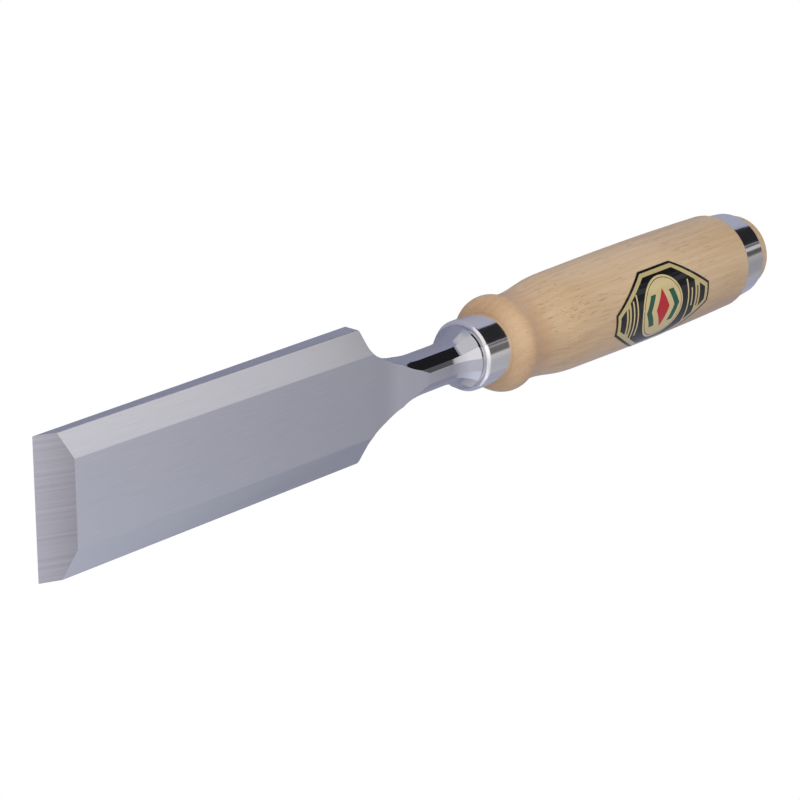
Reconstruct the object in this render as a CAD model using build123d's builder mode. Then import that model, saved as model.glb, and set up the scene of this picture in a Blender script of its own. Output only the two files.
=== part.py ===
from build123d import *
import os
from math import acos, cos, degrees, radians, sin, sqrt, tan

# Bevel-edged bench chisel with a turned wooden handle, a ferrule and a striking hoop.
# Frame: millimetres. The origin is the middle of the cutting edge, on the flat back.
# +X runs from the cutting edge to the struck end, +Y across the blade, +Z from the back to the bevelled face.

# ---- Driving dimensions: blade ----
blade_width = 40.0
blade_length = 116.5  # cutting edge to the shoulder corners
grinding_angle = 25.0  # primary bevel against the flat back
edge_thickness = 4.3  # where the top face, run out, is over the cutting edge
shoulder_thickness = 7.2  # at the shoulder corners
edge_land = 2.6  # upright side of the blade at the cutting edge
shoulder_land = 4.6  # upright side of the blade at the shoulder corners
side_bevel_width = 7.6  # seen from above

# ---- Driving dimensions: shoulders, neck, bolster and tang ----
shank_length = 46.0  # shoulder corners to the face that seats on the ferrule
axis_height = 3.8  # centre line of neck and handle above the flat back
shoulder_rake = 2.9  # how far the shoulder leans back across the side bevel
shoulder_taper = 27.0  # angle at which each shoulder runs into the neck
shoulder_corner_radius = 1.2
shoulder_bend_radius = 8.0
neck_blend_radius = 14.0
neck_width = 12.0  # across the flats of the octagon
arris_width = 1.5  # small flats ground along the edges of the octagon
ramp_length = 15.0  # slope between the blade's top face and the top flat of the neck
ramp_radius = 45.0
neck_length = 10.2  # parallel stretch between the slope and the flare
shoulder_wheel_radius = 30.0  # arc in which the neck's flats run out towards the shoulders
flare_radius = 14.0  # arc in which they run out on the bolster
bolster_rim = 1.0  # length of the rim that stays fully round
rim_lip = 0.3  # the flare's arcs run out this far outside the rim, which trims them
flat_turn = 45.0  # degrees between neighbouring flats of the octagon
tang_length = 64.0
tang_root = 7.0  # square section at the bolster
tang_tip = 4.0

# ---- Driving dimensions: ferrule and handle ----
ferrule_radius = 10.8
ferrule_length = 11.8
ferrule_wall = 0.8
ferrule_roll = 1.2  # rounded front edge, which starts where the bolster's rim ends
mouth_clearance = 1.05  # between the ferrule's opening and the corners of the tang
fit_clearance = 0.05  # between metal sleeves and their wooden seats, and around the tang
handle_length = 144.6  # wood only, from the front of its spigot to the struck end
bead_height = 4.1  # the bead's crest above the ferrule
bead_section = 4.9  # radius of the bead's own round section
bead_release = 20.0  # degrees past the crest where the bead's arc ends
groove_radius = 13.5
groove_setback = 8.2  # behind the bead's crest
waist_radius = 15.0
waist_setback = 21.3  # behind the bead's crest
palm_radius = 15.7
palm_setback = 37.5  # behind the bead's crest, where the long arc of the grip begins
swell_radius = 16.0
rear_step = 0.8  # the grip's rear end above the front of the hoop
rear_round = 0.9
crown_length = 5.5  # wood that stands out behind the hoop
crown_round = 1.5
hole_allowance = 2.0  # depth of the hole past the tip of the tang

# ---- Driving dimensions: striking hoop and label ----
hoop_front_radius = 14.7
hoop_taper = 0.9  # how much smaller the hoop's radius is at its rear
hoop_length = 10.6
hoop_wall = 1.5
hoop_edge_round = 0.5
label_length = 49.2
label_height = 28.2  # measured around the grip
label_end_edge = 6.8
label_top_edge = 16.5
label_thickness = 0.15
label_setback = 48.8  # from the hoop's front edge to the label's middle
label_turn = 4.0  # degrees around the grip, away from the top

beyond = 60.0  # well outside the chisel, for shapes that cut or trim
overrun = 1.0  # how far the side bevels' cutter runs past what it cuts
quarter_turn = 90.0
same_place = 0.01  # corners this close to a place along X are taken to stand at it

# ---- Sizes that follow from others ----
half_width = blade_width / 2
neck_half = neck_width / 2
arris_turn = flat_turn / 2
circumradius = neck_half / cos(radians(arris_turn))
arris_half = circumradius - arris_width / 2 * tan(radians(arris_turn))
bolster_radius = ferrule_radius - ferrule_roll
ferrule_mouth = tang_root / sqrt(2) + mouth_clearance
bead_radius = ferrule_radius + bead_height
rear_radius = hoop_front_radius + rear_step
hoop_rear_radius = hoop_front_radius - hoop_taper
spigot_radius = ferrule_radius - ferrule_wall - fit_clearance
seat_front_radius = hoop_front_radius - hoop_wall - fit_clearance
seat_rear_radius = hoop_rear_radius - hoop_wall - fit_clearance

# ---- Places along the chisel ----
seat_x = blade_length + shank_length
rim_x = seat_x - bolster_rim
spigot_x = seat_x + ferrule_wall
ferrule_rear_x = seat_x + ferrule_length
handle_rear_x = spigot_x + handle_length
hoop_rear_x = handle_rear_x - crown_length
hoop_front_x = hoop_rear_x - hoop_length
bead_centre = bead_radius - bead_section
bead_x = ferrule_rear_x + sqrt(bead_section**2 - (ferrule_radius - bead_centre) ** 2)
groove_x = bead_x + groove_setback
waist_x = bead_x + waist_setback
palm_x = bead_x + palm_setback
grip_rear_x = hoop_front_x - rear_round
release = radians(bead_release)
release_x = bead_x + bead_section * sin(release)
release_radius = bead_centre + bead_section * cos(release)
swell_x = (palm_x + grip_rear_x) / 2
label_x = hoop_front_x - label_setback


def flare_angle(half):
    """Degrees of arc between a flat at this distance from the axis and the bolster's rim."""
    rise = bolster_radius + rim_lip - half
    return degrees(acos((flare_radius - rise) / flare_radius))


def flare_start(half):
    """Where along X such a flat leaves its parallel stretch."""
    return rim_x - flare_radius * sin(radians(flare_angle(half)))


neck_x = flare_start(neck_half) - neck_length
ramp_x = neck_x - ramp_length


def blade_thickness(x):
    """Height of the blade's top face over its flat back at this place along X."""
    return edge_thickness + (shoulder_thickness - edge_thickness) * x / blade_length


def side_land(x):
    """Height of the blade's upright sides at this place along X."""
    return edge_land + (shoulder_land - edge_land) * x / blade_length


def near_x(shapes, x):
    """The members of a list that stand at this place along X."""
    return shapes.filter_by_position(Axis.X, x - same_place, x + same_place)


def across(x):
    """Plane square to the chisel's length, with its own x along +Y and its y along +Z."""
    return Plane.YZ.offset(x)


def tang_side(x):
    """Width of the tang's square section at this place along X."""
    return tang_root + (tang_tip - tang_root) * (x - seat_x) / tang_length


handle_plane = Plane(origin=(0, 0, axis_height), x_dir=(1, 0, 0), z_dir=(0, -1, 0))
handle_axis = Axis((0, 0, axis_height), (1, 0, 0))

# ---- Blade: one forging from the cutting edge to the tip of the tang ----
grind = tan(radians(grinding_angle))
bevel_x = edge_thickness / (grind - (shoulder_thickness - edge_thickness) / blade_length)
arris_y = half_width - side_bevel_width
bend_x = blade_length + shoulder_rake
neck_join_x = bend_x + (arris_y - neck_half) / tan(radians(shoulder_taper))
diagonals = [(flat_turn * step, neck_half) for step in (1, 3)]
arrises = [(flat_turn * step + arris_turn, arris_half) for step in range(4)]

# What the side bevels take away: the upright land grows and the bevel steepens towards the shoulder.
with BuildPart() as side_bevels:
    for x in (-overrun, bend_x + overrun):
        with BuildSketch(across(x)):
            with BuildLine():
                fall = (blade_thickness(x) - side_land(x)) / side_bevel_width
                Polyline(
                    (arris_y, blade_thickness(x)),
                    (half_width + overrun, side_land(x) - fall * overrun),
                    (half_width + overrun, beyond),
                    (arris_y, beyond),
                    close=True,
                )
            make_face()
    loft(ruled=True)
    mirror(about=Plane.XZ)

with BuildPart() as blade:
    # Side view: ground edge, tapering thickness, slope up to the neck, flare and rim.
    with BuildSketch(Plane.XZ) as side:
        with BuildLine():
            top = Polyline(
                (0, 0),
                (bevel_x, blade_thickness(bevel_x)),
                (ramp_x, blade_thickness(ramp_x)),
                (neck_x, axis_height + neck_half),
                (flare_start(neck_half), axis_height + neck_half),
            )
            top_flare = JernArc(top @ 1, (1, 0), flare_radius, flare_angle(neck_half))
            bottom = Polyline(
                (0, 0),
                (ramp_x, 0),
                (neck_x, axis_height - neck_half),
                (flare_start(neck_half), axis_height - neck_half),
            )
            bottom_flare = JernArc(bottom @ 1, (1, 0), flare_radius, -flare_angle(neck_half))
            Polyline(
                top_flare @ 1,
                (seat_x, axis_height + bolster_radius + rim_lip),
                (seat_x, axis_height - bolster_radius - rim_lip),
                bottom_flare @ 1,
            )
        make_face()
        fillet(near_x(side.vertices(), ramp_x), radius=ramp_radius)
    extrude(amount=half_width, both=True)

    # Seen from above: parallel sides, shoulders, neck, flare and rim.
    with BuildSketch(Plane.XY) as outline:
        with BuildLine():
            edge = Polyline(
                (0, 0),
                (0, half_width),
                (blade_length, half_width),
                (bend_x, arris_y),
                (neck_join_x, neck_half),
                (flare_start(neck_half), neck_half),
            )
            edge_flare = JernArc(edge @ 1, (1, 0), flare_radius, flare_angle(neck_half))
            Polyline(edge_flare @ 1, (seat_x, bolster_radius + rim_lip), (seat_x, 0), (0, 0))
        make_face()
        fillet(near_x(outline.vertices(), blade_length), radius=shoulder_corner_radius)
        fillet(near_x(outline.vertices(), bend_x), radius=shoulder_bend_radius)
        fillet(near_x(outline.vertices(), neck_join_x), radius=neck_blend_radius)
        mirror(about=Plane.XZ)
    extrude(amount=beyond, both=True, mode=Mode.INTERSECT)

    # The remaining flats of the octagon, and the narrow flats along its edges, each run out at both ends.
    for turn, half in diagonals + arrises:
        with BuildSketch(handle_plane.rotated((turn, 0, 0))):
            with BuildLine():
                run_out = JernArc((neck_x, half), (-1, 0), shoulder_wheel_radius, -quarter_turn)
                Polyline(
                    run_out @ 1,
                    (neck_x - shoulder_wheel_radius, beyond),
                    (-beyond, beyond),
                    (-beyond, 0),
                )
                neck_flat = Line((neck_x, half), (flare_start(half), half))
                flat_flare = JernArc(neck_flat @ 1, (1, 0), flare_radius, flare_angle(half))
                Polyline(flat_flare @ 1, (seat_x, bolster_radius + rim_lip), (seat_x, 0), (-beyond, 0))
            make_face()
            mirror(about=Plane.XZ)
        extrude(amount=beyond, both=True, mode=Mode.INTERSECT)

    # The rim is turned round.
    with BuildSketch(across(neck_x)):
        with Locations((0, axis_height)):
            Circle(beyond)
            Circle(bolster_radius, mode=Mode.SUBTRACT)
    extrude(amount=seat_x - neck_x, mode=Mode.SUBTRACT)

    # Side bevels.
    add(side_bevels.part, mode=Mode.SUBTRACT)

    # Tang: a square taper.
    for x in (seat_x, seat_x + tang_length):
        with BuildSketch(across(x)):
            with Locations((0, axis_height)):
                Rectangle(tang_side(x), tang_side(x))
    loft()

# ---- Ferrule: drawn cap with a rolled front edge ----
with BuildPart() as ferrule:
    with BuildSketch(handle_plane) as ferrule_wall_section:
        with BuildLine():
            Polyline(
                (seat_x, ferrule_mouth),
                (seat_x, ferrule_radius),
                (ferrule_rear_x, ferrule_radius),
                (ferrule_rear_x, ferrule_radius - ferrule_wall),
                (spigot_x, ferrule_radius - ferrule_wall),
                (spigot_x, ferrule_mouth),
                close=True,
            )
        make_face()
        fillet(near_x(ferrule_wall_section.vertices(), seat_x).sort_by(Axis.Y)[-1], radius=ferrule_roll)
    revolve(axis=handle_axis)


def grip_line(growth):
    """The grip from the bead to the hoop, at this height above the wood."""
    palm_to_hoop = ThreePointArc(
        (palm_x, palm_radius + growth),
        (swell_x, swell_radius + growth),
        (grip_rear_x, rear_radius + growth),
    )
    bead_to_palm = Spline(
        (release_x, release_radius + growth),
        (groove_x, groove_radius + growth),
        (waist_x, waist_radius + growth),
        (palm_x, palm_radius + growth),
        tangents=[(cos(release), -sin(release)), palm_to_hoop % 0],
    )
    return bead_to_palm, palm_to_hoop


# ---- Handle: one turned piece, drilled for the tang ----
with BuildPart() as handle:
    with BuildSketch(handle_plane) as profile:
        with BuildLine():
            bead_to_palm, palm_to_hoop = grip_line(0)
            ThreePointArc((ferrule_rear_x, ferrule_radius), (bead_x, bead_radius), bead_to_palm @ 0)
            rear_corner = JernArc(palm_to_hoop @ 1, (1, 0), rear_round, -quarter_turn)
            Polyline(
                (ferrule_rear_x, ferrule_radius),
                (ferrule_rear_x, spigot_radius),
                (spigot_x, spigot_radius),
                (spigot_x, 0),
                (handle_rear_x, 0),
                (handle_rear_x, seat_rear_radius),
                (hoop_rear_x, seat_rear_radius),
                (hoop_front_x, seat_front_radius),
                rear_corner @ 1,
            )
        make_face()
        fillet(near_x(profile.vertices(), handle_rear_x).sort_by(Axis.Y)[-1], radius=crown_round)
    revolve(axis=handle_axis)
    hole_end = seat_x + tang_length + hole_allowance
    for x in (spigot_x, hole_end):
        with BuildSketch(across(x)):
            with Locations((0, axis_height)):
                Rectangle(tang_side(x) + 2 * fit_clearance, tang_side(x) + 2 * fit_clearance)
    loft(mode=Mode.SUBTRACT)

# ---- Striking hoop: tapered ring driven over the rear seat ----
with BuildPart() as striking_hoop:
    with BuildSketch(handle_plane) as hoop_section:
        with BuildLine():
            Polyline(
                (hoop_front_x, hoop_front_radius - hoop_wall),
                (hoop_front_x, hoop_front_radius),
                (hoop_rear_x, hoop_rear_radius),
                (hoop_rear_x, hoop_rear_radius - hoop_wall),
                close=True,
            )
        make_face()
        fillet(near_x(hoop_section.vertices(), hoop_front_x).sort_by(Axis.Y)[-1], radius=hoop_edge_round)
        fillet(near_x(hoop_section.vertices(), hoop_rear_x).sort_by(Axis.Y)[-1], radius=hoop_edge_round)
    revolve(axis=handle_axis)

# ---- Label: thin octagonal sticker that follows the grip ----
with BuildPart() as label:
    with BuildSketch(handle_plane):
        for growth, mode in ((label_thickness, Mode.ADD), (0, Mode.SUBTRACT)):
            with BuildLine(mode=Mode.PRIVATE) as skin:
                front, rear = grip_line(growth)
                Polyline(front @ 0, (release_x, 0), (grip_rear_x, 0), rear @ 1)
            make_face(skin.edges(), mode=mode)
    revolve(axis=handle_axis)
    half_height = swell_radius * sin(label_height / 2 / swell_radius)
    half_end = swell_radius * sin(label_end_edge / 2 / swell_radius)
    facing = Vector(0, -sin(radians(label_turn)), cos(radians(label_turn)))
    with BuildSketch(Plane(origin=(label_x, 0, axis_height), x_dir=(1, 0, 0), z_dir=facing)):
        with BuildLine():
            Polyline(
                (label_top_edge / 2, half_height),
                (label_length / 2, half_end),
                (label_length / 2, -half_end),
                (label_top_edge / 2, -half_height),
                (-label_top_edge / 2, -half_height),
                (-label_length / 2, -half_end),
                (-label_length / 2, half_end),
                (-label_top_edge / 2, half_height),
                close=True,
            )
        make_face()
    extrude(amount=beyond, mode=Mode.INTERSECT)

# ---- Write one STEP file for each piece ----
os.makedirs("parts", exist_ok=True)
blade.part.label = "blade"
export_step(blade.part, "parts/blade.step")
ferrule.part.label = "ferrule"
export_step(ferrule.part, "parts/ferrule.step")
handle.part.label = "handle"
export_step(handle.part, "parts/handle.step")
striking_hoop.part.label = "striking_hoop"
export_step(striking_hoop.part, "parts/striking_hoop.step")
label.part.label = "label"
export_step(label.part, "parts/label.step")
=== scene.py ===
"""Looks of a bevel-edged bench chisel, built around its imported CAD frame.

Lengths are in metres, in the frame of the CAD model. The origin is the middle of the cutting edge on the flat
back, +X runs to the struck end, +Y across the blade and +Z from the back to the bevelled face.
"""

import logging
import math
from dataclasses import dataclass
from enum import Enum
from typing import Any

import bmesh
import bpy
from mathutils import Matrix, Vector


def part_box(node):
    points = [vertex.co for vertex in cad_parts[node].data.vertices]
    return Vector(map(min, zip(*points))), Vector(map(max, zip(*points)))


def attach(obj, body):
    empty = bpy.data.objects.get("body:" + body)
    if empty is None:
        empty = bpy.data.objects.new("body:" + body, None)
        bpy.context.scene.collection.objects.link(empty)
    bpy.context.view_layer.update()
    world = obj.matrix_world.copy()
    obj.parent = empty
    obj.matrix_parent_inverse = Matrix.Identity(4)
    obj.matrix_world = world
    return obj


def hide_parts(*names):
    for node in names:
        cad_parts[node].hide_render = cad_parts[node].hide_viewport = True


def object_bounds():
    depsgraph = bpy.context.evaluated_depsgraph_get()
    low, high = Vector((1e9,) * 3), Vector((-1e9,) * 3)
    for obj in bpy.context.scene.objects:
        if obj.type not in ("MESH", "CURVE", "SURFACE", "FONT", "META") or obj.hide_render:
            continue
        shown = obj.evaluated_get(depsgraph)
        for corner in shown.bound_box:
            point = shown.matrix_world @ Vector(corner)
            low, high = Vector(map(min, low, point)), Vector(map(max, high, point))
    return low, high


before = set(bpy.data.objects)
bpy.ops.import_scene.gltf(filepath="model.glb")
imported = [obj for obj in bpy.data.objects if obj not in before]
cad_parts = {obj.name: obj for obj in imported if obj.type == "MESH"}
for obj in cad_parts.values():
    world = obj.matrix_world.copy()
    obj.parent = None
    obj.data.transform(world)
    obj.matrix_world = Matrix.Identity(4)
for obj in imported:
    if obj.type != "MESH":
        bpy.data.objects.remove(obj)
CAD_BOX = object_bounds()

MM = 0.001
NOISE_RANGE = (0.3, 0.7)  # where nearly all values of a noise pattern lie
Colour = tuple[float, float, float, float]
Triple = tuple[float, float, float]
Pair = tuple[float, float]
Outline = list[Pair]
Tree = bpy.types.NodeTree
Socket = bpy.types.NodeSocket
log = logging.getLogger("chisel")


def linear(code: str) -> Colour:
    """Turns an sRGB colour into the linear values that shaders take.

    Args:
        code: A hex colour such as "#C1C1C8".

    Returns:
        Red, green, blue and an alpha of 1.
    """
    shares = [int(code[k : k + 2], 16) / 255 for k in (1, 3, 5)]
    red, green, blue = (s / 12.92 if s <= 0.04045 else ((s + 0.055) / 1.055) ** 2.4 for s in shares)
    return red, green, blue, 1.0


def add_node(
    tree: Tree,
    kind: str,
    settings: dict[str, Any] | None = None,
    inputs: dict[str | int, Any] | None = None,
    stops: list[tuple[float, Colour]] | None = None,
) -> bpy.types.Node:
    """Adds a node with its settings, its input values or links, and the stops of its ramp.

    Args:
        tree: The node tree that the node goes into.
        kind: The node's type name.
        settings: Attributes of the node.
        inputs: Values, or output sockets to link from, by the input's name or place.
        stops: Position and colour of each stop, for a colour ramp.

    Returns:
        The new node.
    """
    node = tree.nodes.new(kind)
    for name, value in (settings or {}).items():
        setattr(node, name, value)
    for key, value in (inputs or {}).items():
        if isinstance(value, Socket):
            tree.links.new(value, node.inputs[key])
        else:
            node.inputs[key].default_value = value
    for place, (position, colour) in enumerate(stops or []):
        elements = node.color_ramp.elements
        element = elements[place] if place < 2 else elements.new(position)
        element.position = position
        element.color = colour
    return node


def here(tree: Tree) -> Socket:
    """The place on the object, in metres from the origin."""
    return add_node(tree, "ShaderNodeTexCoord").outputs["Object"]


def axes(tree: Tree, vector: Socket) -> bpy.types.NodeOutputs:
    """The X, Y and Z of a vector."""
    return add_node(tree, "ShaderNodeSeparateXYZ", inputs={0: vector}).outputs


def maths(tree: Tree, operation: str, *values: Socket | float) -> Socket:
    """Works out one sum on numbers.

    Args:
        tree: The node tree.
        operation: The kind of sum, such as "MULTIPLY".
        values: What it takes, in order.

    Returns:
        Its result.
    """
    return add_node(tree, "ShaderNodeMath", {"operation": operation}, dict(enumerate(values))).outputs[0]


def vectors(tree: Tree, operation: str, *values: Socket | Triple) -> Socket:
    """Works out one sum on vectors.

    Args:
        tree: The node tree.
        operation: The kind of sum, such as "ADD".
        values: What it takes, in order.

    Returns:
        Its result.
    """
    return add_node(
        tree, "ShaderNodeVectorMath", {"operation": operation}, dict(enumerate(values))
    ).outputs[0]


def scaled(tree: Tree, vector: Socket | Triple, factor: Socket | float) -> Socket:
    """Multiplies a vector or a colour by a number.

    Args:
        tree: The node tree.
        vector: The vector or colour.
        factor: The number.

    Returns:
        The scaled vector or colour.
    """
    return add_node(
        tree, "ShaderNodeVectorMath", {"operation": "SCALE"}, {0: vector, "Scale": factor}
    ).outputs[0]


def noise(
    tree: Tree, place: Socket, width: float, detail: float = 2.0, roughness: float = 0.5
) -> bpy.types.Node:
    """Adds a noise pattern.

    Args:
        tree: The node tree.
        place: Where the pattern is read.
        width: The rough width of its largest features.
        detail: How many finer layers it has.
        roughness: How strong they are.

    Returns:
        The noise node.
    """
    return add_node(
        tree,
        "ShaderNodeTexNoise",
        inputs={"Vector": place, "Scale": 1 / width, "Detail": detail, "Roughness": roughness},
    )


def remap(
    tree: Tree,
    value: Socket,
    source: Pair,
    result: tuple[float, Socket | float] = (0.0, 1.0),
    smooth: bool = False,
) -> Socket:
    """Moves a value from one range into another, and holds it at the ends.

    Args:
        tree: The node tree.
        value: The value.
        source: The range that it comes from.
        result: The range that it goes into.
        smooth: Whether it eases in and out at the ends.

    Returns:
        The moved value.
    """
    return add_node(
        tree,
        "ShaderNodeMapRange",
        {"interpolation_type": "SMOOTHSTEP" if smooth else "LINEAR"},
        {
            "Value": value,
            "From Min": source[0],
            "From Max": source[1],
            "To Min": result[0],
            "To Max": result[1],
        },
    ).outputs["Result"]


def ramp(tree: Tree, share: Socket, stops: list[tuple[float, Colour]]) -> Socket:
    """Reads a colour off a ramp.

    Args:
        tree: The node tree.
        share: How far along the ramp, from 0 to 1.
        stops: Position and colour of each stop, the two ends first.

    Returns:
        The colour.
    """
    return add_node(tree, "ShaderNodeValToRGB", inputs={0: share}, stops=stops).outputs["Color"]


def mixed(tree: Tree, share: Socket, first: Socket, second: Colour) -> Socket:
    """Mixes two colours.

    Args:
        tree: The node tree.
        share: How much of the second there is, from 0 to 1.
        first: The first colour.
        second: The second colour.

    Returns:
        The mixed colour.
    """
    return add_node(
        tree, "ShaderNodeMix", {"data_type": "RGBA"}, {0: share, 6: first, 7: second}
    ).outputs[2]


def relief(tree: Tree, height: Socket, strength: float, distance: float) -> Socket:
    """Raises a fine relief on a surface.

    Args:
        tree: The node tree.
        height: The relief, from 0 to 1.
        strength: How much of it is used, from 0 to 1.
        distance: How high it stands at 1.

    Returns:
        The surface normal over it.
    """
    return add_node(
        tree, "ShaderNodeBump", inputs={"Height": height, "Strength": strength, "Distance": distance}
    ).outputs[0]


def emission(tree: Tree, colour: Socket | Colour, strength: Socket | float) -> Socket:
    """Makes a glow.

    Args:
        tree: The node tree.
        colour: Its colour.
        strength: Its strength.

    Returns:
        The glowing shader.
    """
    return add_node(tree, "ShaderNodeEmission", inputs={"Color": colour, "Strength": strength}).outputs[0]


def new_material(name: str) -> tuple[bpy.types.Material, Tree, bpy.types.Node]:
    """Makes an empty node material with its output node.

    Args:
        name: The material's name.

    Returns:
        The material, its node tree and its output node.
    """
    material = bpy.data.materials.new(name)
    material.use_nodes = True
    tree = material.node_tree
    tree.nodes.clear()
    return material, tree, add_node(tree, "ShaderNodeOutputMaterial")


def object_from(bm: bmesh.types.BMesh, name: str) -> bpy.types.Object:
    """Turns a finished bmesh into an object at the origin, and frees the bmesh.

    Args:
        bm: The shape.
        name: The object's name.

    Returns:
        The new object, in the scene.
    """
    mesh = bpy.data.meshes.new(name)
    bm.to_mesh(mesh)
    bm.free()
    made = bpy.data.objects.new(name, mesh)
    bpy.context.scene.collection.objects.link(made)
    return made


class Lay(Enum):
    """The direction in which grinding or polishing lines run, as stretch of a pattern along X, Y and Z."""

    LENGTHWISE = (0.012, 1.0, 1.0)
    DOWN_THE_BEVEL = (0.012, 1.0, 0.012)
    ROUND = (1.0, 0.03, 0.03)


@dataclass(frozen=True)
class ToolSteel:
    """Chrome-vanadium tool steel, surface ground and then finely polished.

    Grinding leaves fine parallel lines that spread the reflection across them, and polishing leaves a soft
    mirror that is sharpest on the neck, where the wheel reaches all round.
    """

    name: str
    colour: str = "#C1C1C9"
    ground_roughness: float = 0.2
    polished_roughness: float = 0.07
    polish_from: float = 116 * MM
    polish_to: float = 128 * MM
    line_width: float = 0.22 * MM  # real lines are a tenth of this, too fine to show
    line_detail: float = 3.0
    line_contrast: float = 0.6
    line_depth: float = 0.02
    line_shade: float = 0.03
    lay: Lay = Lay.LENGTHWISE
    patch_width: float = 22 * MM
    patch_roughness: Pair = (0.9, 1.12)  # share of the roughness where the polish is best and poorest
    painted_shade_end: float = 0.0  # where the surface ends if painted shade darkens it towards its rear, or 0
    # share of the colour that the painted shade leaves at the surface's rear
    painted_shade_depth: float = 1.0

    def material(self) -> bpy.types.Material:
        """Builds the material: lines in colour and bump, a polish that grows towards the neck, and, where
        asked, painted shade that darkens the surface towards its rear.

        Returns:
            The material.
        """
        material, tree, output = new_material(self.name)
        place = here(tree)
        along = axes(tree, place)["X"]
        stretched = vectors(tree, "MULTIPLY", place, self.lay.value)
        lines = noise(tree, stretched, self.line_width, self.line_detail, self.line_contrast).outputs["Fac"]
        patches = noise(tree, place, self.patch_width).outputs["Fac"]
        polish = remap(
            tree,
            along,
            (self.polish_from, self.polish_to),
            (self.ground_roughness, self.polished_roughness),
            smooth=True,
        )
        roughness = maths(
            tree, "MULTIPLY", polish, remap(tree, patches, NOISE_RANGE, self.patch_roughness)
        )
        shade = remap(tree, lines, NOISE_RANGE, (1 - self.line_shade, 1 + self.line_shade))
        # painted shade: the colour darkens towards the rear of the surface, in place of the dimmer reflection
        # of a hollow grind
        if self.painted_shade_end:
            painted_darkening = remap(tree, along, (0.0, self.painted_shade_end), (1.0, self.painted_shade_depth))
            shade = maths(tree, "MULTIPLY", shade, painted_darkening)
        shader = add_node(
            tree,
            "ShaderNodeBsdfPrincipled",
            inputs={
                "Base Color": scaled(tree, linear(self.colour)[:3], shade),
                "Metallic": 1.0,
                "Roughness": roughness,
                "Normal": relief(tree, lines, self.line_depth, self.line_width),
            },
        )
        tree.links.new(shader.outputs[0], output.inputs["Surface"])
        return material


@dataclass(frozen=True)
class NickelPlate:
    """Nickel plating on drawn steel sheet.

    A warm, almost perfect mirror. Drawing the sheet leaves it very slightly wavy, which wobbles reflections.
    """

    name: str = "nickel_plate_on_drawn_steel"
    colour: str = "#EDEBEB"
    smoothest: float = 0.088
    roughest: float = 0.143
    wave_width: float = 5 * MM
    wave_detail: float = 1.0
    wave_height: float = 0.012 * MM
    line_width: float = 0.3 * MM  # real turning lines are finer

    def material(self) -> bpy.types.Material:
        """Builds the material: faint turning lines round the sleeve over a slow waviness.

        Returns:
            The material.
        """
        material, tree, output = new_material(self.name)
        place = here(tree)
        stretched = vectors(tree, "MULTIPLY", place, Lay.ROUND.value)
        lines = noise(tree, stretched, self.line_width).outputs["Fac"]
        waves = noise(tree, place, self.wave_width, self.wave_detail).outputs["Fac"]
        shader = add_node(
            tree,
            "ShaderNodeBsdfPrincipled",
            inputs={
                "Base Color": linear(self.colour),
                "Metallic": 1.0,
                "Roughness": remap(tree, lines, NOISE_RANGE, (self.smoothest, self.roughest)),
                "Normal": relief(tree, waves, 1.0, self.wave_height),
            },
        )
        tree.links.new(shader.outputs[0], output.inputs["Surface"])
        return material


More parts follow.
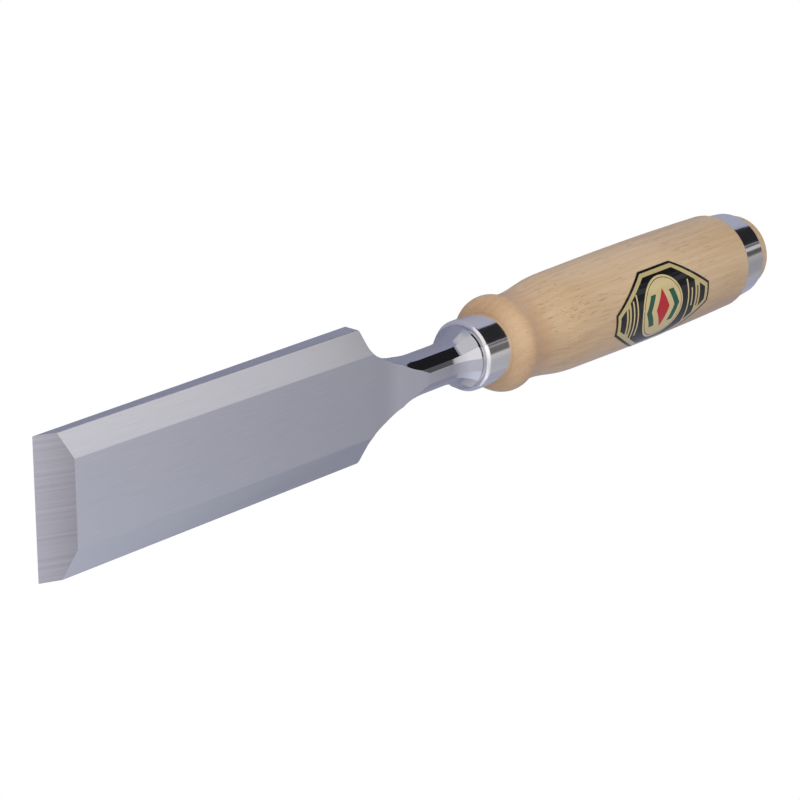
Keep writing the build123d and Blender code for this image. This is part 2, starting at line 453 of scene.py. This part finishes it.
@dataclass(frozen=True)
class LacqueredHornbeam:
    """Hornbeam, turned, sanded and dipped in clear lacquer.

    A pale, close-grained wood: faint growth bands, short dark flecks along the grain and little figure. The
    lacquer is satin, warms the wood, and gathers a little more deeply coloured on the end grain of the bead.
    """

    name: str = "lacquered_hornbeam"
    pale: str = "#D5BB97"
    mid: str = "#C6A881"
    mid_stop: float = 0.45
    dark: str = "#AF8D67"
    tone_range: Pair = (0.6, 1.1)
    patch_width: float = 18 * MM
    patch_stretch: Triple = (0.25, 1, 1)
    patch_share: float = 0.7
    pith: Triple = (0.0, 0.052, -0.03)
    ring_spacing: float = 2.6 * MM
    ring_stretch: Triple = (0.02, 1, 1)
    ring_wander: float = 7 * MM
    ring_share: float = 0.03
    grain_width: float = 0.7 * MM
    grain_stretch: Triple = (0.035, 1, 1)
    grain_detail: float = 4.0
    grain_contrast: float = 0.55
    grain_share: float = 0.36
    grain_base: float = 0.315
    grain_height: float = 0.1 * MM
    grain_relief: float = 0.12
    fleck: str = "#876A50"
    fleck_width: float = 0.3 * MM
    fleck_stretch: Triple = (0.04, 1, 1)
    fleck_detail: float = 1.0
    fleck_range: Pair = (0.78, 0.88)
    fleck_strength: float = 0.65
    crowd_width: float = 11 * MM
    crowd_share: float = 0.26
    amber: str = "#BC9169"
    amber_front: float = 186 * MM
    amber_rear: float = 192 * MM
    amber_share: float = 0.4
    wood_roughness: float = 0.55
    wood_gloss: float = 0.2
    lacquer: float = 0.7
    lacquer_roughness: float = 0.26

    def tone(self, tree: Tree, place: Socket, grain: Socket) -> Socket:
        """Builds the colour of the plain wood, from slow patches, growth bands and grain.

        Args:
            tree: The node tree.
            place: The place on the handle.
            grain: The grain's pattern.

        Returns:
            The colour.
        """
        patches = noise(tree, vectors(tree, "MULTIPLY", place, self.patch_stretch), self.patch_width)
        wander = scaled(tree, patches.outputs["Color"], self.ring_wander)
        from_pith = vectors(tree, "ADD", wander, vectors(tree, "SUBTRACT", place, self.pith))
        depth = add_node(
            tree,
            "ShaderNodeVectorMath",
            {"operation": "LENGTH"},
            {0: vectors(tree, "MULTIPLY", from_pith, self.ring_stretch)},
        ).outputs["Value"]
        rings = maths(tree, "SINE", maths(tree, "MULTIPLY", depth, 2 * math.pi / self.ring_spacing))
        share = maths(tree, "MULTIPLY_ADD", grain, self.grain_share, self.grain_base)
        share = maths(tree, "MULTIPLY_ADD", rings, self.ring_share, share)
        share = maths(tree, "MULTIPLY_ADD", patches.outputs["Fac"], self.patch_share, share)
        return ramp(
            tree,
            remap(tree, share, self.tone_range),
            [(0.0, linear(self.dark)), (1.0, linear(self.pale)), (self.mid_stop, linear(self.mid))],
        )

    def flecks(self, tree: Tree, place: Socket) -> Socket:
        """Builds the share of dark flecks, which crowd together in some places.

        Args:
            tree: The node tree.
            place: The place on the handle.

        Returns:
            How much of the fleck's colour shows.
        """
        stretched = vectors(tree, "MULTIPLY", place, self.fleck_stretch)
        single = noise(tree, stretched, self.fleck_width, self.fleck_detail).outputs["Fac"]
        crowd = noise(tree, place, self.crowd_width).outputs["Fac"]
        crowded = maths(tree, "MULTIPLY_ADD", crowd, self.crowd_share, single)
        return remap(tree, crowded, self.fleck_range, (0.0, self.fleck_strength), smooth=True)

    def material(self) -> bpy.types.Material:
        """Builds the material: wood, flecks, amber bead and satin lacquer.

        Returns:
            The material.
        """
        material, tree, output = new_material(self.name)
        place = here(tree)
        along = axes(tree, place)["X"]
        grain = noise(
            tree,
            vectors(tree, "MULTIPLY", place, self.grain_stretch),
            self.grain_width,
            self.grain_detail,
            self.grain_contrast,
        ).outputs["Fac"]
        bead = remap(
            tree, along, (self.amber_front, self.amber_rear), (self.amber_share, 0.0), smooth=True
        )
        warmed = mixed(tree, bead, self.tone(tree, place, grain), linear(self.amber))
        shader = add_node(
            tree,
            "ShaderNodeBsdfPrincipled",
            inputs={
                "Base Color": mixed(tree, self.flecks(tree, place), warmed, linear(self.fleck)),
                "Roughness": self.wood_roughness,
                "Normal": relief(tree, grain, self.grain_relief, self.grain_height),
                "Specular IOR Level": self.wood_gloss,
                "Coat Weight": self.lacquer,
                "Coat Roughness": self.lacquer_roughness,
            },
        )
        tree.links.new(shader.outputs[0], output.inputs["Surface"])
        return material


@dataclass(frozen=True)
class PrintInk:
    """Ink or bronze printed on glossy label film.

    The film is smooth and clear, so every ink carries the same sharp gloss. Bronze ink is flakes of metal in
    a clear binder, which gives a soft metallic body under the gloss.
    """

    name: str
    colour: str
    metallic: float = 0.0
    roughness: float = 0.5
    speck: float = 0.05
    speck_width: float = 0.35 * MM
    ink_gloss: float = 0.1
    film: float = 0.7
    film_roughness: float = 0.06

    def material(self) -> bpy.types.Material:
        """Builds the material: ink with a faint print mottle under a clear gloss film.

        Returns:
            The material.
        """
        material, tree, output = new_material(self.name)
        mottle = noise(tree, here(tree), self.speck_width).outputs["Fac"]
        shade = remap(tree, mottle, NOISE_RANGE, (1 - self.speck, 1 + self.speck))
        shader = add_node(
            tree,
            "ShaderNodeBsdfPrincipled",
            inputs={
                "Base Color": scaled(tree, linear(self.colour)[:3], shade),
                "Metallic": self.metallic,
                "Roughness": self.roughness,
                "Specular IOR Level": self.ink_gloss,
                "Coat Weight": self.film,
                "Coat Roughness": self.film_roughness,
            },
        )
        tree.links.new(shader.outputs[0], output.inputs["Surface"])
        return material


@dataclass
class Blade:
    """Blade, neck, bolster and tang: one forging, with its ground edges very slightly eased."""

    node: str = "blade"
    piece_name: str = "blade_forging"
    grinding_angle: float = math.radians(25)
    same_facing: float = math.radians(1)
    same_plane: float = math.radians(0.15)
    weld: float = 0.0005 * MM
    easing: float = 0.12 * MM
    easing_steps: int = 2
    edge_angle: float = math.radians(14)

    def build(self) -> bpy.types.Object:
        """Copies the CAD forging, merges it, and eases its edges.

        Returns:
            The forging, standing for the CAD node.
        """
        bm = bmesh.new()
        bm.from_mesh(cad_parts[self.node].data)
        bmesh.ops.remove_doubles(bm, verts=bm.verts, dist=self.weld)
        bmesh.ops.dissolve_limit(
            bm, angle_limit=self.same_plane, verts=bm.verts, edges=bm.edges, use_dissolve_boundaries=False
        )
        bevel_normal = Vector((-math.sin(self.grinding_angle), 0, math.cos(self.grinding_angle)))
        for face in bm.faces:
            face.smooth = True
            face.material_index = int(face.normal.dot(bevel_normal) > math.cos(self.same_facing))
        for edge in bm.edges:
            edge.smooth = edge.calc_face_angle(0.0) < self.edge_angle
        made = object_from(bm, self.piece_name)
        easing = made.modifiers.new("eased_edges", "BEVEL")
        easing.width = self.easing
        easing.segments = self.easing_steps
        easing.limit_method = "ANGLE"
        easing.angle_limit = self.edge_angle
        easing.use_clamp_overlap = False
        easing.harden_normals = True
        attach(made, "root")
        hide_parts(self.node)
        return made

    def dress(self, piece: bpy.types.Object) -> None:
        """Gives the forging its polished steel, and the primary bevel its coarser grinding, with painted
        shade darkening the bevel towards its rear.

        Args:
            piece: The forging.
        """
        polished = ToolSteel("ground_and_polished_tool_steel")
        ground = ToolSteel(
            "freshly_ground_tool_steel",
            colour="#B9B6BD",
            ground_roughness=0.28,
            line_width=1.1 * MM,  # real lines are about 0.1 mm wide
            line_shade=0.11,
            lay=Lay.DOWN_THE_BEVEL,
            # painted shade: the bevel's colour darkens towards its rear, in place of the dimmer reflection of
            # its hollow grind
            painted_shade_end=9.7 * MM,
            painted_shade_depth=0.72,
        )
        for finish in (polished, ground):
            piece.data.materials.append(finish.material())


@dataclass
class CadPiece:
    """A piece whose CAD shape is right, and which takes only its finish here."""

    node: str
    finish: NickelPlate | LacqueredHornbeam

    def dress(self) -> bpy.types.Object:
        """Puts the finish in the CAD object's material slots.

        Returns:
            The CAD object.
        """
        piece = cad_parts[self.node]
        material = self.finish.material()
        for place in range(len(piece.data.materials)):
            piece.data.materials[place] = material
        return piece


class Ink(Enum):
    """The inks of the label, in the order of its material slots."""

    BLACK = PrintInk("black_label_ink", "#101014")
    BRONZE = PrintInk("bronze_label_ink", "#C4B27C", metallic=0.15, roughness=0.4)
    PALE_BRONZE = PrintInk("pale_bronze_label_ink", "#D2BE8A", metallic=0.1, roughness=0.4)
    RED = PrintInk("red_label_ink", "#B3131F")
    GREEN = PrintInk("green_label_ink", "#17523A")


@dataclass
class Label:
    """Octagonal printed label, wrapped over the grip: a film with thin layers of ink.

    The print is a plain device of the maker's own: a lozenge between two chevrons in a round field, with
    rules in place of any words. Flat shapes are drawn along the label (u) and up it (s), from its middle.
    """

    node: str = "label"
    piece_name: str = "printed_label"
    length: float = 49.2 * MM
    height: float = 28.2 * MM
    end_edge: float = 6.8 * MM
    top_edge: float = 16.5 * MM
    setback: float = 48.8 * MM
    turn: float = math.radians(-4)
    film: float = 0.15 * MM
    ink: float = 0.012 * MM
    border: float = 0.85 * MM
    band: float = 1.4 * MM
    field_half: float = 17.0 * MM
    bar_from: float = 19.5 * MM
    disc_centre: Pair = (-0.6 * MM, 0.4 * MM)
    disc_radius: float = 10.6 * MM
    hairline_inset: float = 0.75 * MM
    hairline: float = 0.23 * MM
    disc_corners: int = 72
    lozenge_half: Pair = (3.4 * MM, 6.4 * MM)
    chevron_tip: float = 8.6 * MM
    chevron_arm: float = 2.6 * MM
    chevron_rise: float = 5.2 * MM
    chevron_thick: float = 2.6 * MM
    rule_half: float = 0.32 * MM
    rules: tuple[Triple, ...] = ((-15.6, -7.2, 6.0), (-13.7, -6.0, 7.6), (13.2, -8.0, 6.6), (15.2, -2.6, 3.4))
    end_rule_half: float = 0.3 * MM
    end_rules: tuple[Pair, ...] = ((-18.3, 4.2), (18.3, 3.4))
    wrap_step: float = 0.8 * MM
    weld: float = 0.0001 * MM
    edge_angle: float = math.radians(30)
    palm_radius: float = 15.7 * MM
    swell_radius: float = 16.0 * MM
    rear_radius: float = 15.5 * MM
    palm_setback: float = 75.2 * MM
    rear_setback: float = 0.9 * MM

    def __post_init__(self) -> None:
        """Takes the label's place from the hoop and the handle of the CAD model."""
        hoop_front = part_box("striking_hoop")[0].x
        low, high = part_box("handle")
        self.axis_height = (low.z + high.z) / 2
        self.centre_x = hoop_front - self.setback
        palm_x = hoop_front - self.palm_setback
        rear_x = hoop_front - self.rear_setback
        self.grip_middle = (palm_x + rear_x) / 2
        self.grip_half = (rear_x - palm_x) / 2

    def grip_radius(self, x: float) -> float:
        """Works out the radius of the wood, from the three radii of its long arc.

        Args:
            x: The place along the chisel.

        Returns:
            The radius there.
        """
        share = (x - self.grip_middle) / self.grip_half
        slope = (self.rear_radius - self.palm_radius) / 2
        sag = self.swell_radius - (self.rear_radius + self.palm_radius) / 2
        return self.swell_radius + slope * share - sag * share * share

    def octagon(self) -> Outline:
        """Draws the label's outline.

        Returns:
            Its corners.
        """
        half_length, half_height = self.length / 2, self.height / 2
        half_end, half_top = self.end_edge / 2, self.top_edge / 2
        quarter = [(half_length, half_end), (half_top, half_height)]
        upper = quarter + [(-u, s) for u, s in reversed(quarter)]
        return upper + [(-u, -s) for u, s in upper]

    def inset(self, outline: Outline, distance: float) -> Outline:
        """Moves a convex outline inwards by an even distance.

        Args:
            outline: The outline's corners.
            distance: How far its edges move in.

        Returns:
            The corners of the smaller outline.
        """
        bm = bmesh.new()
        face = bm.faces.new([bm.verts.new((u, s, 0)) for u, s in outline])
        face.normal_update()
        bmesh.ops.inset_individual(bm, faces=[face], thickness=distance, use_even_offset=True)
        corners = [(v.co.x, v.co.y) for v in face.verts]
        bm.free()
        return corners

    def clip(self, outline: Outline, at: float, side: int) -> Outline:
        """Cuts an outline with a line across the label.

        Args:
            outline: The outline's corners.
            at: The line's place along the label.
            side: 1 to keep what lies past the line, -1 to keep what lies before it.

        Returns:
            The corners of what is kept.
        """
        bm = bmesh.new()
        bm.faces.new([bm.verts.new((u, s, 0)) for u, s in outline])
        bmesh.ops.bisect_plane(
            bm,
            geom=bm.verts[:] + bm.edges[:] + bm.faces[:],
            plane_co=(at, 0, 0),
            plane_no=(side, 0, 0),
            clear_inner=True,
        )
        bm.faces.ensure_lookup_table()
        corners = [(v.co.x, v.co.y) for v in bm.faces[0].verts]
        bm.free()
        return corners

    def disc(self, radius: float) -> Outline:
        """Draws a circle about the middle of the round field.

        Args:
            radius: The circle's radius.

        Returns:
            Its corners.
        """
        u, s = self.disc_centre
        turns = [2 * math.pi * k / self.disc_corners for k in range(self.disc_corners)]
        return [(u + radius * math.cos(t), s + radius * math.sin(t)) for t in turns]

    def bar(self, low: Pair, high: Pair) -> Outline:
        """A rectangle between two corners."""
        return [low, (high[0], low[1]), high, (low[0], high[1])]

    def chevron(self, side: int) -> Outline:
        """Draws a chevron that points along the label, away from its middle.

        Args:
            side: 1 for the one towards the struck end, -1 for the other.

        Returns:
            Its corners.
        """
        u, s = self.disc_centre
        tip, arm, rise, thick = self.chevron_tip, self.chevron_arm, self.chevron_rise, self.chevron_thick
        shape = [(tip, 0), (tip - arm, rise), (tip - arm - thick, rise), (tip - thick, 0)]
        shape += [(tip - arm - thick, -rise), (tip - arm, -rise)]
        return [(u + side * x, s + y) for x, y in shape]

    def lozenge(self) -> Outline:
        """Draws the lozenge in the middle of the round field.

        Returns:
            Its corners.
        """
        u, s = self.disc_centre
        half_u, half_s = self.lozenge_half
        return [(u + half_u, s), (u, s + half_s), (u - half_u, s), (u, s - half_s)]

    def layers(self) -> list[tuple[Ink, int, Outline]]:
        """Lists every printed shape.

        Returns:
            The ink, the layer that it lies in, and the outline of each.
        """
        gold = self.inset(self.octagon(), self.border)
        inner = self.inset(gold, self.band)
        dark_field = self.clip(self.clip(inner, self.field_half, -1), -self.field_half, 1)
        outer_line = self.disc_radius - self.hairline_inset
        found = [
            (Ink.BRONZE, 1, gold),
            (Ink.BLACK, 2, dark_field),
            (Ink.BLACK, 2, self.clip(inner, self.bar_from, 1)),
            (Ink.BLACK, 2, self.clip(inner, -self.bar_from, -1)),
            (Ink.PALE_BRONZE, 3, self.disc(self.disc_radius)),
            (Ink.BLACK, 4, self.disc(outer_line)),
            (Ink.PALE_BRONZE, 5, self.disc(outer_line - self.hairline)),
            (Ink.GREEN, 6, self.chevron(1)),
            (Ink.GREEN, 6, self.chevron(-1)),
            (Ink.RED, 6, self.lozenge()),
        ]
        half = self.rule_half
        for place, low, high in self.rules:
            outline = self.bar((place * MM - half, low * MM), (place * MM + half, high * MM))
            found.append((Ink.PALE_BRONZE, 3, outline))
        half = self.end_rule_half
        for place, reach in self.end_rules:
            outline = self.bar((place * MM - half, -reach * MM), (place * MM + half, reach * MM))
            found.append((Ink.BLACK, 2, outline))
        return found

    def add_film(
        self, whole: bmesh.types.BMesh, outline: Outline, base: float, top: float, slot: int
    ) -> None:
        """Adds one flat film to a mesh, cut finely enough to bend, and wraps it over the grip.

        Args:
            whole: The mesh that the film is added to.
            outline: The film's outline, flat.
            base: Height of its underside over the wood.
            top: Height of its upper side over the wood.
            slot: The material slot of its faces.
        """
        bm = bmesh.new()
        bm.faces.new([bm.verts.new((u, s, base)) for u, s in outline])
        for axis, step in ((1, self.wrap_step), (0, 4 * self.wrap_step)):
            normal = Vector((1 - axis, axis, 0))
            reach = int(self.length / 2 / step)
            for k in range(-reach, reach + 1):
                geometry = bm.verts[:] + bm.edges[:] + bm.faces[:]
                bmesh.ops.bisect_plane(bm, geom=geometry, plane_co=normal * (k * step), plane_no=normal)
        raised = bmesh.ops.extrude_face_region(bm, geom=bm.faces[:], use_keep_orig=True)
        upper = [v for v in raised["geom"] if isinstance(v, bmesh.types.BMVert)]
        bmesh.ops.translate(bm, verts=upper, vec=(0, 0, top - base))
        bmesh.ops.remove_doubles(bm, verts=bm.verts, dist=self.weld)
        for vert in bm.verts:
            u, s, height = vert.co
            x = self.centre_x + u
            radius = self.grip_radius(x) + height
            angle = self.turn + s / self.swell_radius
            vert.co = (x, radius * math.sin(angle), self.axis_height + radius * math.cos(angle))
        bmesh.ops.recalc_face_normals(bm, faces=bm.faces)
        for face in bm.faces:
            face.material_index = slot
            face.smooth = True
        for edge in bm.edges:
            edge.smooth = edge.calc_face_angle(0.0) < self.edge_angle
        part = bpy.data.meshes.new("film")
        bm.to_mesh(part)
        bm.free()
        whole.from_mesh(part)
        bpy.data.meshes.remove(part)

    def build(self) -> bpy.types.Object:
        """Makes the film and every layer of ink on it.

        Returns:
            The label, standing for the CAD node.
        """
        inks = list(Ink)
        whole = bmesh.new()
        self.add_film(whole, self.octagon(), 0.0, self.film, inks.index(Ink.BLACK))
        for ink, layer, outline in self.layers():
            base = self.film + (layer - 1) * self.ink
            self.add_film(whole, outline, base, base + self.ink, inks.index(ink))
        made = object_from(whole, self.piece_name)
        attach(made, "root")
        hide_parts(self.node)
        return made

    def dress(self, piece: bpy.types.Object) -> None:
        """Gives each layer its ink."""
        for ink in Ink:
            piece.data.materials.append(ink.value.material())


@dataclass(frozen=True)
class Panel:
    """A flat, evenly glowing panel, or a black flag, from a corner and its two sides."""

    name: str
    corner: Triple
    across: Triple
    up: Triple
    glow_name: str
    colour: Colour
    strength: float = 1.0
    lights: bool = False  # whether it lights matt surfaces too


@dataclass(frozen=True)
class OverheadDiffuser:
    """The overhead diffuser: it fades towards the struck end, and has an opening over the neck's far side."""

    name: str = "overhead_diffuser"
    length: Pair = (-0.4, 1.2)
    width: Pair = (-0.42, 0.13)
    fade: tuple[Pair, ...] = (
        (0.0, 0.8),
        (1.0, 0.28),
        (0.27, 0.8),
        (0.345, 0.78),
        (0.37, 0.7),
        (0.40, 0.64),
        (0.425, 0.57),
        (0.455, 0.52),
        (0.505, 0.45),
        (0.55, 0.40),
        (0.8, 0.27),
    )
    tint: tuple[tuple[float, Colour], ...] = (
        (0.0, (1.35, 1.42, 1.55, 1)),
        (1.0, (1, 0.98, 0.93, 1)),
        (0.55, (0.97, 0.98, 1.07, 1)),
        (0.8, (1, 0.99, 0.98, 1)),
    )
    brighter_over: Pair = (-0.08, 0.07)
    brightening: float = 1.6
    opening_from: Pair = (0.30, 0.385)
    opening_beside: Pair = (-0.012, 0.012)
    opening_ends: Pair = (0.366, 0.38)
    opening_light: Pair = (0.02, 0.2)

    def material(self) -> bpy.types.Material:
        """Builds the diffuser's glow.

        Returns:
            The material.
        """
        material, tree, output = new_material(self.name)
        parts = axes(tree, here(tree))
        grey = [(position, (light, light, light, 1.0)) for position, light in self.fade]
        faded = ramp(tree, remap(tree, parts["X"], self.length), grey)
        tint = ramp(tree, remap(tree, parts["Y"], self.width), list(self.tint))
        brighter = remap(tree, parts["Y"], self.brighter_over, (1.0, self.brightening))
        past = remap(tree, parts["X"], self.opening_from, smooth=True)
        beside = remap(tree, parts["Y"], self.opening_beside, smooth=True)
        opening = maths(tree, "MULTIPLY", past, beside)
        depth = remap(tree, parts["X"], self.opening_ends, self.opening_light, smooth=True)
        kept = remap(tree, opening, (0.0, 1.0), (1.0, depth))
        strength = maths(tree, "MULTIPLY", brighter, kept)
        light = emission(tree, vectors(tree, "MULTIPLY", faded, tint), strength)
        tree.links.new(light, output.inputs["Surface"])
        return material


@dataclass
class Studio:
    """Pale floor, soft light panels and the camera."""

    floor_reach: float = 6.0
    floor_in_reflections: Colour = (0.50, 0.52, 0.62, 1.0)
    sky_behind_edge: Colour = (0.80, 0.80, 0.86, 1.0)
    sky_past_struck_end: Colour = (0.38, 0.39, 0.46, 1.0)
    sky_change: Pair = (-0.4, 0.7)
    panel_height: float = 0.215
    strip_drop: float = 0.006
    lamp_size: float = 0.8
    lamp_aim: Triple = (0.16, 0, 0)
    side_lamp: Triple = (-0.35, 0.9, 0.25)
    side_lamp_power: float = 7.2
    top_lamp: Triple = (-0.3, 0.1, 1.0)
    top_lamp_power: float = 1.1
    camera_place: Triple = (-0.39651, 0.24982, 0.46009)
    camera_right: Triple = (0.65328, 0.00802, 0.75707)
    camera_up: Triple = (0.25491, 0.93924, -0.22990)
    lens: float = 116.84
    nearest: float = 0.02
    farthest: float = 20.0

    def sheet(
        self, name: str, corner: Triple, across: Triple, up: Triple, material: bpy.types.Material
    ) -> bpy.types.Object:
        """Makes a flat sheet.

        Args:
            name: Its name.
            corner: One corner.
            across: The side that runs across from it.
            up: The side that runs up from it.
            material: Its material.

        Returns:
            The sheet.
        """
        start, along, rise = Vector(corner), Vector(across), Vector(up)
        bm = bmesh.new()
        corners = (start, start + along, start + along + rise, start + rise)
        bm.faces.new([bm.verts.new(place) for place in corners])
        made = object_from(bm, name)
        made.data.materials.append(material)
        return made

    def hide_from_camera(self, panel: bpy.types.Object, lights: bool) -> None:
        """Keeps a panel out of the picture and the shadows.

        Args:
            panel: The panel.
            lights: Whether it lights matt surfaces too.
        """
        panel.visible_camera = False
        panel.visible_shadow = False
        panel.visible_diffuse = lights
        panel.visible_transmission = False

    def floor(self) -> None:
        """Makes the pale floor: white to the eye, and a softer blue-grey in what the steel reflects."""
        material, tree, output = new_material("pale_floor")
        seen = add_node(tree, "ShaderNodeLightPath").outputs["Is Camera Ray"]
        matt = add_node(tree, "ShaderNodeBsdfDiffuse", inputs={"Color": self.floor_in_reflections}).outputs[0]
        white = emission(tree, (1, 1, 1, 1), 1.0)
        either = add_node(tree, "ShaderNodeMixShader", inputs={0: seen, 1: matt, 2: white}).outputs[0]
        tree.links.new(either, output.inputs["Surface"])
        reach, low = self.floor_reach, CAD_BOX[0].z
        made = self.sheet("floor", (-reach, -reach, low), (2 * reach, 0, 0), (0, 2 * reach, 0), material)

    def sky(self) -> None:
        """Sets the surrounding light: a tent, brighter behind the edge and dimmer past the struck end."""
        world = bpy.data.worlds.new("light_tent")
        bpy.context.scene.world = world
        world.use_nodes = True
        tree = world.node_tree
        tree.nodes.clear()
        output = add_node(tree, "ShaderNodeOutputWorld")
        direction = add_node(tree, "ShaderNodeTexCoord").outputs["Generated"]
        share = remap(tree, axes(tree, direction)["X"], self.sky_change, smooth=True)
        colour = ramp(tree, share, [(0.0, self.sky_behind_edge), (1.0, self.sky_past_struck_end)])
        light = add_node(tree, "ShaderNodeBackground", inputs={"Color": colour, "Strength": 1.0}).outputs[0]
        tree.links.new(light, output.inputs["Surface"])

    def overhead(self) -> None:
        """Hangs the overhead diffuser."""
        diffuser = OverheadDiffuser()
        (front, rear), (far, near) = diffuser.length, diffuser.width
        panel = self.sheet(
            "overhead_panel",
            (front, far, self.panel_height),
            (rear - front, 0, 0),
            (0, near - far, 0),
            diffuser.material(),
        )
        self.hide_from_camera(panel, lights=False)

    def panels(self) -> None:
        """Places the side panel, the two strips beside the overhead diffuser and the black flag."""
        strip = self.panel_height - self.strip_drop
        placed = (
            Panel(
                "side_panel",
                corner=(-0.45, 0.26, -0.01),
                across=(0.68, 0, 0),
                up=(0, 0, 0.36),
                glow_name="side_panel_glow",
                colour=(1, 0.98, 0.96, 1),
                strength=0.9,
                lights=True,
            ),
            Panel(
                "near_strip_panel",
                corner=(0.385, 0.079, strip),
                across=(0.075, 0, 0),
                up=(0, 0.016, 0),
                glow_name="near_strip_glow",
                colour=(0.97, 1, 1, 1),
                strength=0.42,
            ),
            Panel(
                "far_strip_panel",
                corner=(0.46, 0.056, strip),
                across=(0.9, 0, 0),
                up=(0, 0.042, 0),
                glow_name="far_strip_glow",
                colour=(0.98, 1, 1, 1),
                strength=0.58,
            ),
            Panel(
                "side_flag",
                corner=(0.27, 0.28, 0.0),
                across=(2.2, 0, 0),
                up=(0, 0, 0.42),
                glow_name="black_flag",
                colour=(0.02, 0.02, 0.022, 1),
            ),
        )
        for panel in placed:
            material, tree, output = new_material(panel.glow_name)
            tree.links.new(emission(tree, panel.colour, panel.strength), output.inputs["Surface"])
            made = self.sheet(panel.name, panel.corner, panel.across, panel.up, material)
            self.hide_from_camera(made, panel.lights)

    def lamp(self, name: str, place: Triple, power: float) -> None:
        """Places a soft lamp that points at the middle of the chisel.

        Args:
            name: Its name.
            place: Where it stands.
            power: Its power in watts.
        """
        data = bpy.data.lights.new(name, "AREA")
        data.energy = power
        data.size = self.lamp_size
        lamp = bpy.data.objects.new(name, data)
        bpy.context.scene.collection.objects.link(lamp)
        lamp.location = place
        aim = Vector(self.lamp_aim) - lamp.location
        lamp.rotation_euler = aim.to_track_quat("-Z", "Y").to_euler()
        lamp.visible_camera = False
        lamp.visible_glossy = False

    def camera(self) -> None:
        """Places the camera, and shows colours as they are."""
        right, up = Vector(self.camera_right).normalized(), Vector(self.camera_up).normalized()
        back = right.cross(up)
        data = bpy.data.cameras.new("camera")
        data.lens = self.lens
        data.clip_start, data.clip_end = self.nearest, self.farthest
        camera = bpy.data.objects.new("camera", data)
        bpy.context.scene.collection.objects.link(camera)
        turned = Matrix((right, up, back)).transposed().to_4x4()
        camera.matrix_world = Matrix.Translation(self.camera_place) @ turned
        bpy.context.scene.camera = camera
        bpy.context.scene.view_settings.view_transform = "Standard"

    def build(self) -> None:
        """Sets up the whole studio."""
        self.floor()
        self.sky()
        self.overhead()
        self.panels()
        self.lamp("side_lamp", self.side_lamp, self.side_lamp_power)
        self.lamp("top_lamp", self.top_lamp, self.top_lamp_power)
        self.camera()


def main() -> None:
    """Builds and dresses every piece, then sets up the studio."""
    logging.basicConfig(level=logging.INFO)
    blade = Blade()
    forging = blade.build()
    blade.dress(forging)
    log.info("%s has %d faces", forging.name, len(forging.data.polygons))
    nickel = NickelPlate()
    for piece in (CadPiece("ferrule", nickel), CadPiece("striking_hoop", nickel)):
        log.info("%s is plated", piece.dress().name)
    log.info("%s is lacquered", CadPiece("handle", LacqueredHornbeam()).dress().name)
    label = Label()
    printed = label.build()
    label.dress(printed)
    log.info("%s has %d faces", printed.name, len(printed.data.polygons))
    Studio().build()


if __name__ == "__main__":
    main()
